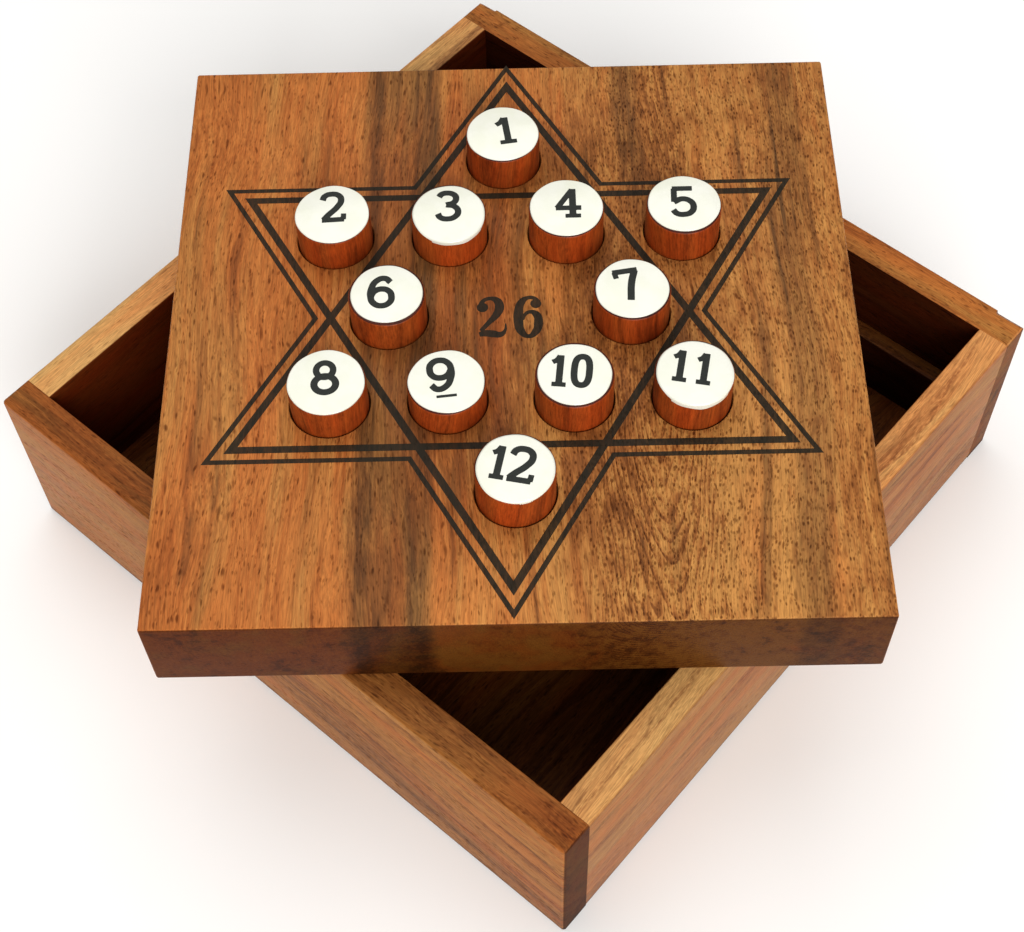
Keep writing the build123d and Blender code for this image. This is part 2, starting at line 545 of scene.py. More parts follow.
def wood(name, light, middle, dark, turn=ALONG_Y, centre=(0, 0, 0), shift=(0, 0, 0), bands=(), stains=(),
         soil=0.0, coat=0.03, ink=None, **values):
    """A timber material with its own colours and figure.

    Bands are (input, place, half width, soft, wave, start, stop, strength), face tints are (direction faced, tint),
    where the tints on faces inside the box are painted shade; the foot height is how far up from the foot the wood is
    painted darker as shade, in mm, and the other values are inputs of the timber.
    """
    material, desk, shader = new_material(name)
    place, point, end = grain_vector(desk, turn, centre, shift)
    for key, *band in bands:
        mask = desk.group(tree("Streak", band_group), Vector=place, **dict(zip(BAND_INPUTS, band)))[0]
        values[key] = desk.plus(values.get(key, 0.0), mask)
    timber = desk.group(tree("Timber", timber_group), Vector=point, End=end,
                        Light=rgba(light), Middle=rgba(middle), Dark=rgba(dark), **values)
    colour = timber["Colour"]
    # painted shade: tints on faces inside the box darken them in place of the shade under the lid; the other tints
    # change a face's colour
    for faced, stain in stains:
        facing = desk.vector("DOT_PRODUCT", desk.coordinate("Normal"), faced, output=1)
        colour = desk.mix(desk.span(facing, 0.35, 0.8), colour, desk.tinted(colour, rgba(stain)))
    # painted shade: the bottom of each wall is darkened, standing in for the shadow along its eased bottom edge
    if soil:
        foot = desk.plus(desk.split(desk.millimetres())[2], desk.times(desk.noise(point, 0.12, 3.0), 0.8))
        colour = desk.mix(desk.span(foot, soil, soil + 1.1), desk.tinted(colour, (0.34, 0.25, 0.17, 1)), colour)
    if ink is not None:
        worn = desk.noise(desk.vector("MULTIPLY", point, (1.6, 0.35, 1.6)), 1.0, 3.0, 0.65)
        colour = desk.mix(desk.span(worn, 0.25, 0.72, 1.0, 0.93), colour, rgba(ink))
    desk.feed(shader["Base Color"], colour)
    desk.feed(shader["Roughness"], timber["Roughness"])
    desk.feed(shader["Specular IOR Level"], 0.06)
    desk.feed(shader["Coat Weight"], coat)
    desk.feed(shader["Coat Roughness"], 0.35)
    desk.feed(shader["Normal"], desk.bump(timber["Height"], 0.00012, 0.7))
    return material


# ---------------------------------------------------------------- finishes

# How the lid's figure changes across and along the board: gold and brown, with a band of heartwood on its left,
# two thinner streaks, a speckled right half and tight growth rings
LID_BANDS = (
    ("Heart", -21.5, 5.6, 3.0, 0.8, -300, 300, 0.72), ("Heart", -16.4, 1.3, 2.0, 0.6, -300, 300, 0.40),
    ("Heart", -26.0, 0.7, 1.2, 0.8, -300, 300, 0.35), ("Heart", 23.0, 1.4, 2.5, 1.0, 20, 300, 0.65),
    ("Heart", 52.0, 1.8, 3.0, 2.4, -300, 300, 0.55), ("Gold", -5.0, 8.0, 8.0, 1.0, -300, -22, 0.20),
    ("Gold", 38.0, 7.0, 12.0, 1.5, -300, 0, 0.35), ("Gold", 6.0, 8.0, 34.0, 0.6, -60, 64, -0.30),
    ("Gold", 22.0, 4.0, 6.0, 0.6, -300, -18, 0.10), ("Gold", 53.0, 3.0, 8.0, 1.0, -300, 0, -0.10),
    ("Gold", 5.5, 1.6, 3.0, 0.4, -56, 40, 0.5), ("Figure", 12.0, 36.0, 20.0, 0.0, -300, -10, 0.5),
    ("Speckle", -46.0, 18.0, 16.0, 0.0, -300, 300, -0.35), ("Speckle", 46.0, 26.0, 14.0, 0.0, -300, 300, 0.9),
    ("Speckle", 26.0, 8.0, 5.0, 0.6, -300, 4, 0.9), ("Speckle", 27.0, 3.0, 5.0, 0.6, 14, 300, 0.6),
    ("Speckle", 9.0, 7.0, 6.0, 0.5, -60, 44, 0.5), ("Rings", 25.0, 7.0, 5.0, 0.5, -300, 0, 0.9),
    ("Rings", 27.0, 4.0, 5.0, 0.5, 14, 300, 0.5),
)


def shades(sort):
    """The light, middle and dark colour of one sort of timber."""
    return [getattr(settings("puzzle_timber"), f"{sort}_{shade}") for shade in ("light", "middle", "dark")]


def lid_wood(name, ink=None):
    """The lid's board, or a print on it that the grain shows through."""
    return wood(name, *shades("lid"), turn=(0, 0, -LID_TURN), centre=LID_CENTRE, shift=(200, 40, 10), bands=LID_BANDS,
                ink=ink, Figure=0.55, Pith=(225.0, 48.0, 19.0), Tilt=0.12, Spacing=0.75, Rings=0.15)


def full_wood(name, node, shift, **values):
    """Timber of the full-length walls and the ledges: red-brown, its grain along X."""
    return wood(name, *shades("full"), turn=ALONG_X, centre=sum(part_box(node), Vector()) / 2, shift=shift, **values)


def short_wood(name, node, shift, **values):
    """Timber of the walls between them: paler, its grain along Y."""
    return wood(name, *shades("short"), turn=ALONG_Y, centre=sum(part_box(node), Vector()) / 2, shift=shift, **values)


def enamel_finish():
    """White enamel, brushed on by hand: glossy, a little uneven, with faint flecks."""
    material, desk, shader = new_material("peg enamel")
    point = desk.millimetres()
    cloud = desk.noise(point, 0.22, 3.0)
    fleck = desk.noise(point, 5.0, 2.0)
    white = settings("puzzle_enamel").white
    colour = desk.mix(desk.span(cloud, 0.35, 0.7), rgba(white), rgba(white, (0.96, 0.97, 0.92)))
    colour = desk.mix(desk.span(fleck, 0.64, 0.74, 0.0, 0.25), colour, rgba(white, (0.86, 0.84, 0.75)))
    desk.feed(shader["Base Color"], colour)
    desk.feed(shader["Roughness"], desk.span(fleck, 0.2, 0.8, 0.16, 0.28))
    desk.feed(shader["Coat Weight"], 0.5)
    desk.feed(shader["Coat Roughness"], 0.08)
    desk.feed(shader["Normal"], desk.bump(desk.plus(cloud, desk.times(fleck, 0.12)), 0.0001, 0.8))
    return material


def numeral_finish():
    """Black ink, a little thin in places."""
    material, desk, shader = new_material("numeral ink")
    fleck = desk.noise(desk.millimetres(), 2.2, 3.0)
    ink = settings("puzzle_print").numeral
    desk.feed(shader["Base Color"], desk.mix(desk.span(fleck, 0.35, 0.75), rgba(ink), rgba(ink, (2.4, 2.4, 2.4))))
    desk.feed(shader["Roughness"], desk.span(fleck, 0.3, 0.7, 0.42, 0.6))
    desk.feed(shader["Specular IOR Level"], 0.25)
    desk.feed(shader["Normal"], desk.bump(fleck, 0.00002, 0.5))
    return material


def floor_finish():
    material, desk, shader = new_material("studio paper")
    shade = settings("puzzle_studio").floor
    desk.feed(shader["Base Color"], rgba(shade))
    desk.feed(shader["Roughness"], 0.9)
    desk.feed(shader["Specular IOR Level"], 0.1)
    return material


# ---------------------------------------------------------------- pieces

def near(first, second, gap=2e-5):
    return abs(first - second) < gap


def middle(edge):
    return (edge.verts[0].co + edge.verts[1].co) / 2


def runs(edge, axis):
    """Whether an edge runs along one axis."""
    way = edge.verts[1].co - edge.verts[0].co
    return abs(way[axis]) > 0.99 * way.length


INSIDE_EASED = 0.6      # share of the outer edges' radius that the inner ones get
FOOT_SHADE_MM = 0.9              # mm of painted shade at the foot of the walls, the shadow along their eased bottom edges
BLADE = 2.5 * MM        # thickness of the square blade that cuts the worn places
BLADE_TURN = (math.radians(45), 0, math.radians(1.5))
BLADE_EASED = 0.4 * MM
WORN_LENGTH = 8 * MM
WORN_OUT = 0.3 * MM     # from the edge out to the middle of the blade
WORN_IN = (0.5 * MM, 2.2 * MM)      # from the rear wall's left and right ends to the middles of its worn places


def wall(node, across, outer, butted, worn=()):
    """A wall the size of its frame node.

    Across is its thickness axis, outer its outside level, and worn the places where its outer top edge is worn.
    """
    low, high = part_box(node)
    along = 1 - across
    piece = block(low, high)
    inner = low[across] + high[across] - outer
    eased = settings("puzzle_timber").eased

    def outside(edge):
        return near(middle(edge)[across], outer)

    def on_top(edge):
        return near(middle(edge).z, high.z)

    if butted:
        ease(piece, eased, lambda e: outside(e) and runs(e, along))
    else:
        ease(piece, eased, lambda e: outside(e) or (runs(e, across) and on_top(e)))
    ease(piece, eased * INSIDE_EASED, lambda e: runs(e, along) and near(middle(e)[across], inner) and on_top(e))
    for place in worn:
        clear_bench()
        bpy.ops.mesh.primitive_cube_add(size=BLADE, location=place, rotation=BLADE_TURN)
        bpy.context.active_object.scale.x = WORN_LENGTH / BLADE
        blade = set_place()
        ease(blade, BLADE_EASED)
        cut(piece, blade)
    return settle(piece, f"{node}_board")


# Node, thickness axis, which end of its box is outside, whether it is butted between others, timber, slot, figure
WALLS = (
    ("front_wall", 1, 0, False, full_wood, "full_wall_wood", dict(
        shift=(0, 70, 0), Pores=0.8, Figure=1.1,
        # the BACK tint is painted shade on the wall's inner face
        stains=((BACK, (0.22, 0.10, 0.06)), (UP, (0.64, 0.52, 0.40)), (FRONT, (0.92, 0.84, 0.72))),
        bands=(("Gold", 0.0, 300.0, 1.0, 0.0, -300, 0, 0.4), ("Heart", 1.3, 0.25, 0.7, 0.3, -300, 8, 0.45),
               ("Heart", -0.9, 0.15, 0.6, 0.3, -300, -8, 0.40), ("Speckle", 0.0, 300.0, 1.0, 0.0, -6, 62, 0.5)))),
    ("rear_wall", 1, 1, False, full_wood, "full_wall_wood", dict(
        shift=(90, 320, 60),
        # the FRONT tint is painted shade on the wall's inner face
        stains=((FRONT, (0.12, 0.06, 0.05)), (UP, (0.95, 0.85, 0.68)), (RIGHT, (2.3, 2.6, 3.6))))),
    ("right_wall", 0, 1, True, short_wood, "short_wall_wood", dict(
        shift=(400, 10, 130), Pores=0.35, Figure=0.8, Streaks=0.3, Gold=0.25,
        # the LEFT tint is painted shade on the wall's inner face
        stains=((LEFT, (0.22, 0.10, 0.06)), (RIGHT, (0.60, 0.50, 0.47))))),
    ("left_wall", 0, 0, True, short_wood, "short_wall_wood", dict(
        # the RIGHT tint is painted shade on the wall's inner face
        shift=(510, 480, 220), Gold=0.45, Pores=0.5, stains=((RIGHT, (0.15, 0.05, 0.025)),))),
)


class PUZZLE_OT_walls(bpy.types.Operator):
    """Cut and ease the four walls of the box"""
    bl_idname = "puzzle.walls"
    bl_label = "Box walls"

    def execute(self, context):
        for node, across, end, butted, timber, slot, figure in WALLS:
            low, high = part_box(node)
            worn = ()
            if node == "rear_wall":
                worn = [(x, high.y + WORN_OUT, high.z + WORN_OUT) for x in (low.x + WORN_IN[0], high.x - WORN_IN[1])]
            board = wall(node, across, (low, high)[end][across], butted, worn)
            finish_piece(board, "box", slot, timber(f"{node} timber", node, soil=FOOT_SHADE_MM, **figure), node)
        return {"FINISHED"}


BOTTOM_EASED = 0.25 * MM
LEDGE_EASED = 0.4 * MM
# Ledge, the way its inner face looks, and its place in the timber
LEDGES = (("front_ledge", BACK, (30, 810, 10)), ("rear_ledge", FRONT, (80, 940, 10)))


class PUZZLE_OT_tray(bpy.types.Operator):
    """Cut the bottom board and the two ledges that carry the closed lid"""
    bl_idname = "puzzle.tray"
    bl_label = "Bottom and ledges"

    def execute(self, context):
        low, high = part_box("bottom_panel")
        bottom = block(low, high)
        ease(bottom, BOTTOM_EASED, lambda e: near(middle(e).z, low.z))
        settle(bottom, "bottom_board")
        light, brown, dark = shades("full")
        # painted shade: the UP tint darkens the top of the bottom board for the shade inside the closed box
        finish = wood("bottom timber", [part * 0.6 for part in light], [part * 0.55 for part in brown], dark,
                      turn=ALONG_Y, shift=(700, 100, 40), stains=((UP, (0.64, 0.45, 0.27)),), Figure=2.2)
        finish_piece(bottom, "box", "bottom_wood", finish, "bottom_panel")
        for node, inward, shift in LEDGES:
            low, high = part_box(node)
            strip = block(low, high)
            ease(strip, LEDGE_EASED, lambda e: runs(e, 0) and near(middle(e).z, high.z))
            settle(strip, f"{node}_strip")
            # painted shade: the ledges' inner faces and tops are darkened for the shade inside the closed box
            stains = ((inward, (0.10, 0.05, 0.04)), (UP, (0.30, 0.24, 0.18)))
            finish_piece(strip, "box", "ledge_wood", full_wood(f"{node} timber", node, shift, stains=stains), node)
        return {"FINISHED"}


LID_EASED = 0.7         # of the walls' eased edges
DRILL_OVER = 5 * MM     # how far the drill stands above the lid
RIM_EASED = 0.25 * MM


class PUZZLE_OT_lid(bpy.types.Operator):
    """Cut the lid board and drill its twelve sockets"""
    bl_idname = "puzzle.lid"
    bl_label = "Lid board"

    socket_gap: FloatProperty(
        name="Socket gap", description="Room round a peg in its socket", default=0.3 * MM, unit="LENGTH", min=0)

    def execute(self, context):
        half = LID_SIDE / 2
        lid = block((-half, -half, LID_UNDER), (half, half, LID_TOP))
        ease(lid, settings("puzzle_timber").eased * LID_EASED)
        lid.matrix_world = LID_PLACE
        settle(lid, "lid_board")
        for foot, top, radius in PEG_PLACES.values():
            cut(lid, cylinder(foot, radius + self.socket_gap, foot.z, LID_TOP + DRILL_OVER, 64))

        def on_rim(edge):
            spot = middle(edge)
            return near(spot.z, LID_TOP) and any(
                near(math.hypot(spot.x - foot.x, spot.y - foot.y), radius + self.socket_gap, 0.1 * MM)
                for foot, top, radius in PEG_PLACES.values())

        ease(lid, RIM_EASED, on_rim, 2)
        settle(lid, "lid_board")
        finish_piece(lid, "lid", "lid_wood", lid_wood("lid timber"), "lid")
        return {"FINISHED"}


# ---------------------------------------------------------------- printing

STAR_CENTRE = sum((PEG_PLACES[n][0] for n in PEGS), Vector()) / len(PEGS)
PRINT_SUNK = 0.4        # share of its film by which a print on the lid sinks into the wood


def print_place(height, centre=STAR_CENTRE, scale=1.0):
    """Where a print lies: flat at a height, turned with the lid."""
    place = Matrix.Translation((centre.x, centre.y, height)) @ Matrix.Rotation(LID_TURN, 4, "Z")
    return place @ Matrix.Scale(scale, 4)


def thicken(piece, film):
    """Raises a flat print into a film of ink, sunk a little into what it is printed on."""
    pick(piece, "faces", lambda face: True)
    bpy.ops.mesh.extrude_region_move(TRANSFORM_OT_translate={"value": (0, 0, film)})
    bpy.ops.mesh.select_all(action="SELECT")
    bpy.ops.transform.translate(value=(0, 0, -film * PRINT_SUNK))
    bpy.ops.mesh.normals_make_consistent(inside=False)
    bpy.ops.object.mode_set(mode="OBJECT")


def hollow(piece, width):
    """Leaves only a line of one width round a flat shape."""
    pick(piece, "faces", lambda face: True)
    bpy.ops.mesh.inset(thickness=width, use_even_offset=True)
    bpy.ops.mesh.delete(type="FACE")
    bpy.ops.object.mode_set(mode="OBJECT")


def star_lines():
    """The bold star, two crossed triangles, joined with the fine outline round them."""
    printing = settings("puzzle_print")
    parts = []
    for turn in (0, math.pi):
        clear_bench()
        bpy.ops.mesh.primitive_circle_add(
            vertices=3, radius=printing.star_radius + printing.bold, fill_type="NGON", rotation=(0, 0, turn))
        triangle = set_place()
        hollow(triangle, printing.bold)
        thicken(triangle, printing.film)
        parts.append(triangle)
    star, other = parts
    cut(star, other, "UNION")

    outline_tip = printing.star_radius + 2 * printing.star_gap + printing.fine
    clear_bench()
    bpy.ops.mesh.primitive_circle_add(vertices=12, radius=outline_tip, fill_type="NGON")
    outline = bpy.context.active_object
    tip = outline.data.vertices[0].co.normalized()
    for vertex in outline.data.vertices:
        if round(math.degrees(vertex.co.angle(tip))) % 60:
            vertex.co *= 1 / math.sqrt(3)
    hollow(outline, printing.fine)
    thicken(outline, printing.film)
    return join([star, outline])


class PUZZLE_OT_star(bpy.types.Operator):
    """Print the six-pointed star and its outline on the lid"""
    bl_idname = "puzzle.star"
    bl_label = "Star print"

    def execute(self, context):
        star = star_lines()
        star.matrix_world = print_place(LID_TOP)
        settle(star, "star_print", smooth=0)
        finish_piece(star, "lid", "lid_wood", lid_wood("star ink", settings("puzzle_print").ink))
        return {"FINISHED"}


# ---------------------------------------------------------------- numerals

# Each numeral is a few pen strokes in millimetres: ("line", "curve" or "ring", pen radius, points).
# A ring is (centre x, centre y, half width, half height). A point may give its own pen radius.
PEN = 0.52
PRESSURE = 1.18         # how much wider the pen is on the pegs
NUMERALS = {
    "1": (("line", 0.55, ((1.8, 0.4), (1.8, 6.65))), ("curve", 0.45, ((0.0, 5.0), (0.75, 5.4), (1.6, 6.5))),
          ("line", 0.42, ((0.2, 0.42), (3.4, 0.42)))),
    "2": (("curve", PEN, ((0.45, 5.3), (0.85, 6.25), (2.15, 6.72), (3.55, 6.2), (3.9, 5.0), (3.15, 3.5), (1.45, 1.65),
                          (0.6, 0.6))),
          ("line", 0.48, ((0.25, 0.48), (4.4, 0.48))), ("line", 0.42, ((4.25, 0.45), (4.32, 1.85)))),
    "3": (("curve", PEN, ((0.5, 5.75), (0.95, 6.4), (2.05, 6.72), (3.3, 6.3), (3.7, 5.5), (3.3, 4.4), (1.9, 3.85))),
          ("curve", PEN, ((1.9, 3.85), (3.4, 3.5), (4.15, 2.3), (3.6, 1.0), (2.15, 0.45), (0.85, 0.85), (0.4, 1.7)))),
    "4": (("line", 0.47, ((3.25, 6.7), (0.4, 2.3))), ("line", 0.47, ((0.15, 2.3), (4.9, 2.3))),
          ("line", 0.55, ((3.3, 6.85), (3.3, 0.4))), ("line", 0.40, ((1.9, 0.4), (4.8, 0.4)))),
    "5": (("line", 0.48, ((0.4, 6.7), (4.15, 6.7))), ("line", 0.48, ((0.75, 6.7), (0.65, 3.5))),
          ("curve", PEN, ((0.6, 3.45), (2.2, 4.2), (3.7, 3.6), (4.2, 2.4), (3.7, 1.0), (2.3, 0.45), (1.0, 0.75),
                          (0.4, 1.6)))),
    "6": (("curve", PEN, ((4.1, 5.75), (3.1, 6.65), (1.6, 6.15), (0.65, 4.3), (0.55, 2.6), (1.1, 1.1), (2.5, 0.45),
                          (4.0, 1.15), (4.35, 2.5), (3.8, 3.8), (2.5, 4.25), (1.2, 3.7), (0.6, 2.6))),),
    "7": (("line", 0.50, ((0.2, 6.7), (4.75, 6.7))), ("line", 0.42, ((0.55, 6.7), (0.68, 5.3))),
          ("curve", 0.56, ((4.25, 6.6), (3.2, 3.9), (2.35, 0.1)))),
    "8": (("ring", 0.50, (2.3, 5.15, 1.5, 1.55)), ("ring", 0.54, (2.35, 2.15, 1.9, 1.72))),
    "0": (("ring", 0.52, (1.85, 3.6, 1.33, 3.05)),),
    "narrow 1": (("line", 0.52, ((1.45, 0.4), (1.45, 6.65))), ("curve", 0.42, ((0.05, 5.1), (0.65, 5.45), (1.3, 6.5))),
                 ("line", 0.40, ((0.2, 0.42), (2.7, 0.42)))),
}
# the nine is the six turned over
NUMERALS["9"] = tuple((kind, pen, tuple((4.9 - x, 7.2 - y) for x, y in points)) for kind, pen, points in NUMERALS["6"])
NUMERAL_MIDDLE = 3.6    # height of the middle of a numeral above its foot

# Of each peg: across and up from its middle to the middle of its number, and the number's turn in degrees
PRINTS = {
    1: (0.5, 1.1, 8), 2: (0.1, 1.7, 3), 3: (0.0, 1.6, -1), 4: (0.3, 1.2, 0), 5: (-0.1, 0.6, 0), 6: (-1.0, 0.5, 0),
    7: (-0.8, 0.8, 9), 8: (-0.2, 0.9, 2), 9: (-1.0, 1.4, 2), 10: (-0.5, 0.8, -6), 11: (-0.4, 1.2, -11),
    12: (-0.3, 0.8, -12),
}
# The numerals of a two-digit number, with their left sides
PAIRS = {
    10: (("narrow 1", 0.0), ("0", 3.45)),
    11: (("narrow 1", 0.0), ("narrow 1", 4.2)),
    12: (("narrow 1", 0.0), ("2", 3.0)),
}
UNDERLINED = 9
UNDERLINE = (("line", 0.28, ((-1.8, 0.0), (1.8, 0.0))),)
UNDERLINE_PLACE = (0.1, -3.1, 6)
PEG_PRINT_SUNK = 0.6    # share of its film by which a number sinks into the enamel

# The total in the middle of the lid, from its own middle, with a pen that swells
TOTAL = (
    ("ball", 1.064, ((-5.5, 2.15),)),
    ("curve", 1.0, ((-5.95, 2.5, 0.45), (-5.3, 3.7, 0.42), (-4.0, 4.2, 0.42), (-2.75, 3.6, 0.75), (-2.35, 2.1, 0.88),
                    (-2.9, 0.5, 0.75), (-4.3, -1.3, 0.50), (-5.8, -3.2, 0.40))),
    ("curve", 1.0, ((-6.1, -4.0, 0.50), (-5.0, -3.75, 0.72), (-3.6, -3.9, 0.80), (-2.2, -4.05, 0.62),
                    (-1.4, -3.2, 0.30), (-1.25, -1.6, 0.12))),
    ("ball", 1.0304, ((4.35, 2.8),)),
    ("curve", 1.0, ((4.9, 3.2, 0.40), (4.0, 4.1, 0.40), (2.9, 4.2, 0.42), (1.7, 3.2, 0.72), (1.15, 1.0, 0.88),
                    (1.1, -1.2, 0.90), (1.5, -3.3, 0.78), (2.9, -4.6, 0.42), (4.2, -3.6, 0.72), (4.75, -1.8, 0.86),
                    (4.4, 0.3, 0.72), (3.3, 0.95, 0.42), (2.3, 0.3, 0.34), (1.9, -0.8, 0.3))),
)
TOTAL_PLACE = (0.5, -0.4, 0)


def pen_stroke(kind, pen, points, shift=0.0):
    """One stroke of a round pen, as a closed solid; its middle plane is the print."""
    clear_bench()
    if kind == "ball":
        (x, y), = points
        bpy.ops.mesh.primitive_uv_sphere_add(segments=48, ring_count=24, radius=pen, location=(x + shift, y, 0))
        return set_place()
    if kind == "ring":
        x, y, wide, tall = points
        bpy.ops.curve.primitive_bezier_circle_add(radius=1, location=(x + shift, y, 0))
        curve = bpy.context.active_object
        for knot in curve.data.splines[0].bezier_points:
            for part in ("co", "handle_left", "handle_right"):
                place = getattr(knot, part)
                setattr(knot, part, (place.x * wide, place.y * tall, 0))
            knot.radius = pen
    else:
        bpy.ops.curve.primitive_bezier_curve_add(location=(shift, 0, 0))
        curve = bpy.context.active_object
        line = curve.data.splines[0]
        line.bezier_points.add(len(points) - 2)
        for knot, point in zip(line.bezier_points, points):
            knot.co = (point[0], point[1], 0)
            knot.radius = point[2] if len(point) > 2 else pen
            knot.handle_left_type = knot.handle_right_type = "AUTO" if kind == "curve" else "VECTOR"
    curve.data.dimensions = "3D"
    curve.data.resolution_u = 16
    curve.data.bevel_depth = 1
    curve.data.bevel_resolution = 7
    curve.data.use_fill_caps = True
    take(curve)
    bpy.ops.object.convert(target="MESH")
    return set_place()


SLICE = 0.013           # how far from the strokes' middle plane they are cut, so that no vertex lies on it


def lettering(strokes, film, fineness=0.045):
    """One print in millimetres made of strokes: fused, cut near their middle plane, filled and thick as the film."""
    letters = join([pen_stroke(*stroke) for stroke in strokes])
    fuse = letters.modifiers.new("Fuse", "REMESH")
    fuse.mode = "VOXEL"
    fuse.voxel_size = fineness
    keep(letters, fuse)
    pick(letters, "faces", lambda face: True)
    bpy.ops.mesh.bisect(plane_co=(0, 0, SLICE), plane_no=(0, 0, 1), clear_inner=True, clear_outer=True)
    bpy.ops.mesh.select_all(action="SELECT")
    bpy.ops.mesh.remove_doubles(threshold=0.004)
    bpy.ops.mesh.vertices_smooth(factor=0.5, repeat=3)
    bpy.ops.transform.translate(value=(0, 0, -SLICE))
    bpy.ops.object.mode_set(mode="OBJECT")
    bpy.ops.object.convert(target="CURVE")
    letters = bpy.context.active_object
    letters.data.dimensions = "2D"
    letters.data.fill_mode = "BOTH"
    letters.data.extrude = film / 2
    bpy.ops.object.convert(target="MESH")
    letters = bpy.context.active_object
    pick(letters, "faces", lambda face: True)
    bpy.ops.mesh.select_all(action="SELECT")
    bpy.ops.mesh.remove_doubles(threshold=0.002)
    bpy.ops.mesh.normals_make_consistent(inside=False)
    bpy.ops.object.mode_set(mode="OBJECT")
    return letters


class PUZZLE_OT_total(bpy.types.Operator):
    """Print the bold total in the middle of the star"""
    bl_idname = "puzzle.total"
    bl_label = "Total"

    def execute(self, context):
        film = settings("puzzle_print").film
        total = lettering(TOTAL, film / MM, 0.06)
        total.matrix_world = print_place(LID_TOP, scale=MM) @ Matrix.Translation(TOTAL_PLACE)
        settle(total, "total_print", smooth=0)
        finish_piece(total, "lid", "lid_wood", lid_wood("total ink", settings("puzzle_print").ink))
        return {"FINISHED"}


# ---------------------------------------------------------------- pegs

# The enamel of each peg: its radius in mm, then the side where the brush stopped short or went over the edge
# (direction in degrees from the lid's right side, spread, reach in mm) and how far it ran down in mm
TOPS = {
    1: (6.88, 270, 60, -0.20, 0.0),
    2: (6.92, 285, 70, -0.12, 0.0),
    3: (6.72, 285, 72, 0.40, 0.50),
    4: (6.82, 270, 60, -0.18, 0.0),
    5: (6.84, 270, 75, -0.40, 0.0),
    6: (6.62, 280, 70, -0.30, 0.0),
    7: (6.68, 290, 60, -0.15, 0.0),
    8: (6.84, 265, 60, 0.05, 0.1),
    9: (6.80, 250, 45, -0.25, 0.0),
    10: (6.56, 265, 60, -0.05, 0.0),
    11: (6.78, 280, 72, 0.34, 0.70),
    12: (6.80, 285, 65, 0.20, 0.25),
}
FOOT_RAISED = 0.05 * MM         # a peg's foot above the floor of its socket
FOOT_CHAMFER = 0.6 * MM
DOWEL_EASED = 0.35 * MM
CAP_DEPTH = 0.50 * MM           # how far the enamel comes down the side
CAP_EASED = 0.22 * MM
RUN_EASED = 0.42 * MM           # the same for enamel that ran well over the edge
WELL_OVER = 0.2                 # mm of run from which it is so


def dowel(number, lower):
    """A turned peg: its top edge rounded, its foot chamfered and a hair above the socket's floor."""
    foot, top, radius = PEG_PLACES[number]
    bottom, top = foot.z + FOOT_RAISED, top - lower
    peg = cylinder(foot, radius, bottom, top, 96)
    for level, width, segments in ((bottom, FOOT_CHAMFER, 2), (top, DOWEL_EASED, 4)):
        ease(peg, width, lambda e: near(middle(e).z, level) and e.calc_length() < radius / 2, segments)
    return settle(peg, f"peg_{number}_dowel", smooth=35)


def enamel_cap(number, thickness):
    """Enamel brushed over a peg's top: a thin shell, uneven at its edge, that ran down where there was too much."""
    foot, top, radius = PEG_PLACES[number]
    wide, towards, spread, reach, run = TOPS[number]
    towards, spread = math.radians(towards) + LID_TURN, math.radians(spread)
    top -= settings("puzzle_print").film
    cap = cylinder(foot, wide * MM, top - CAP_DEPTH, top, 128, end_fill_type="NGON")
    pick(cap, "faces", lambda face: face.normal.z < -0.9)
    bpy.ops.mesh.delete(type="ONLY_FACE")
    bpy.ops.object.mode_set(mode="OBJECT")
    ease(cap, RUN_EASED if run > WELL_OVER else CAP_EASED, lambda e: near(middle(e).z, top), 5)
    for vertex in cap.data.vertices:
        angle = math.atan2(vertex.co.y - foot.y, vertex.co.x - foot.x)
        away = (angle - towards + math.pi) % (2 * math.pi) - math.pi
        over = math.exp(-((away / spread) ** 2))
        uneven = 0.05 * math.sin(3 * angle + number) + 0.03 * math.sin(7 * angle + 2.1 * number)
        grow = 1 + (reach * over + uneven * (1 - over)) / wide
        vertex.co.x = foot.x + (vertex.co.x - foot.x) * grow
        vertex.co.y = foot.y + (vertex.co.y - foot.y) * grow
        if near(vertex.co.z, top - CAP_DEPTH):
            drip = 0.16 * math.sin(5 * angle + number) + 0.10 * math.sin(11 * angle + 2 * number)
            vertex.co.z -= run * (1 + drip) * over * MM
    shell = cap.modifiers.new("Thickness", "SOLIDIFY")
    shell.thickness = thickness
    shell.offset = -1
    keep(cap, shell)
    return settle(cap, f"peg_{number}_enamel", smooth=40)


class PUZZLE_OT_pegs(bpy.types.Operator):
    """Turn the twelve pegs and stain them"""
    bl_idname = "puzzle.pegs"
    bl_label = "Pegs"

    def execute(self, context):
        timber = settings("puzzle_timber")
        between = [(light + dark) / 2 for light, dark in zip(timber.peg_light, timber.peg_dark)]
        stain = wood("peg stain", timber.peg_light, between, timber.peg_dark, turn=ALONG_Z, shift=(0, 0, 900),
                     coat=0.25, Pores=0.4, Rings=0.3, Spacing=2.6, Pith=(0.0, 0.0, 1000.0))
        for number in PEGS:
            peg = dowel(number, settings("puzzle_enamel").thickness)
            finish_piece(peg, f"peg_{number}", "peg_wood", stain, f"peg_{number}")
        return {"FINISHED"}


class PUZZLE_OT_enamel(bpy.types.Operator):
    """Brush white enamel over the tops of the pegs"""
    bl_idname = "puzzle.enamel"
    bl_label = "Enamel tops"

    def execute(self, context):
        finish = enamel_finish()
        for number in PEGS:
            cap = enamel_cap(number, settings("puzzle_enamel").thickness)
            finish_piece(cap, f"peg_{number}", "peg_wood", finish)
        return {"FINISHED"}


